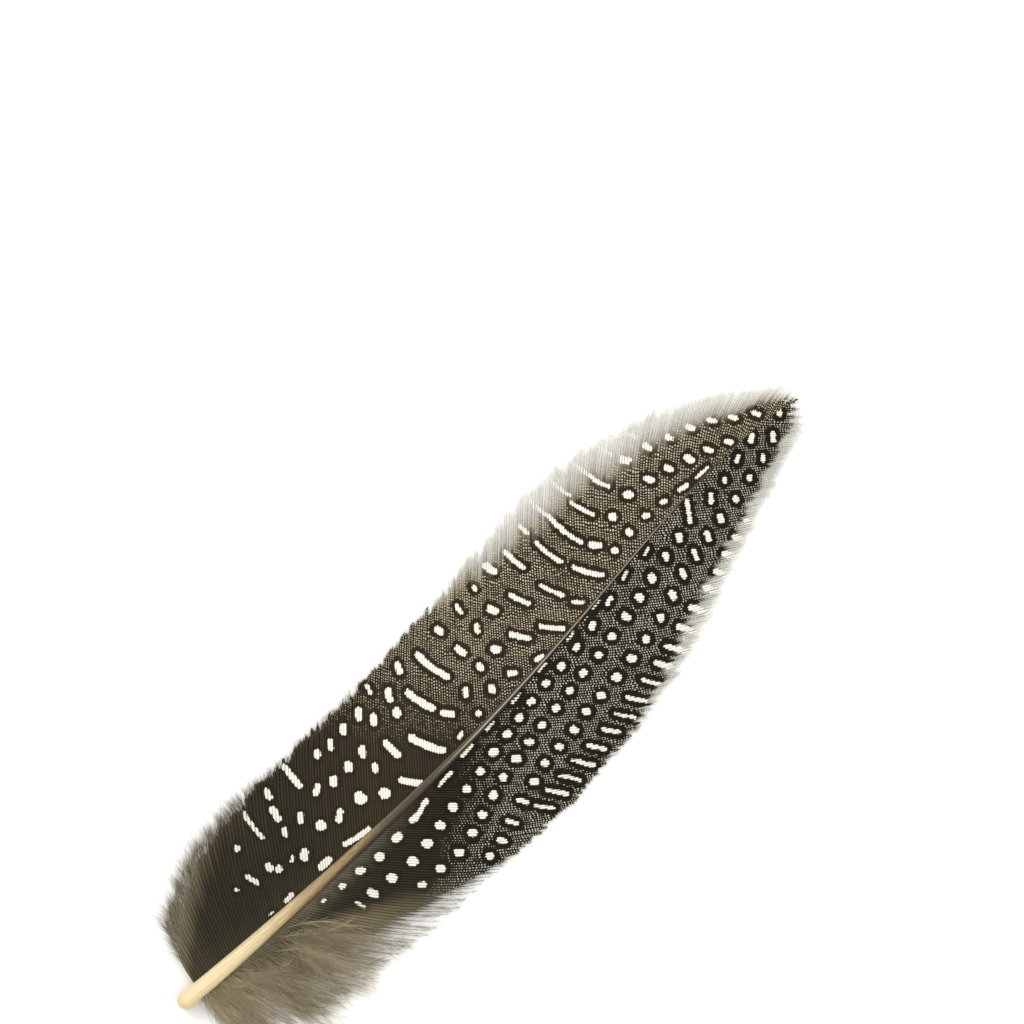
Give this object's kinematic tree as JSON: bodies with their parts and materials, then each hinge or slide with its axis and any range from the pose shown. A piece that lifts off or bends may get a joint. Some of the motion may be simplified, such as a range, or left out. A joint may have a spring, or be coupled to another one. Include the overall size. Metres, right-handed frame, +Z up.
{
  "type": "guinea fowl feather",
  "caption": "Flight feather lying with its spotted side up: a cream quill that darkens into the shaft, dark vanes with pearl spots, a frayed edge and down at the base.",
  "frame": {"origin": "bottom centre of the feather's box, on the surface it lies on", "axes": "+X along the shaft from the quill end to the tip, +Y towards the broad outer vane, +Z up out of the spotted side"},
  "size_m": [0.1914, 0.056, 0.0076],
  "materials": {
    "barbs": "dark brown to black barbs with ivory pearl spots and fine cream speckles, soft satin sheen",
    "quill": "smooth glossy cream horn that turns tan and then dark brown towards the tip"
  },
  "bodies": {
    "root": {"feather": "barbs"}
  },
  "joints": []
}
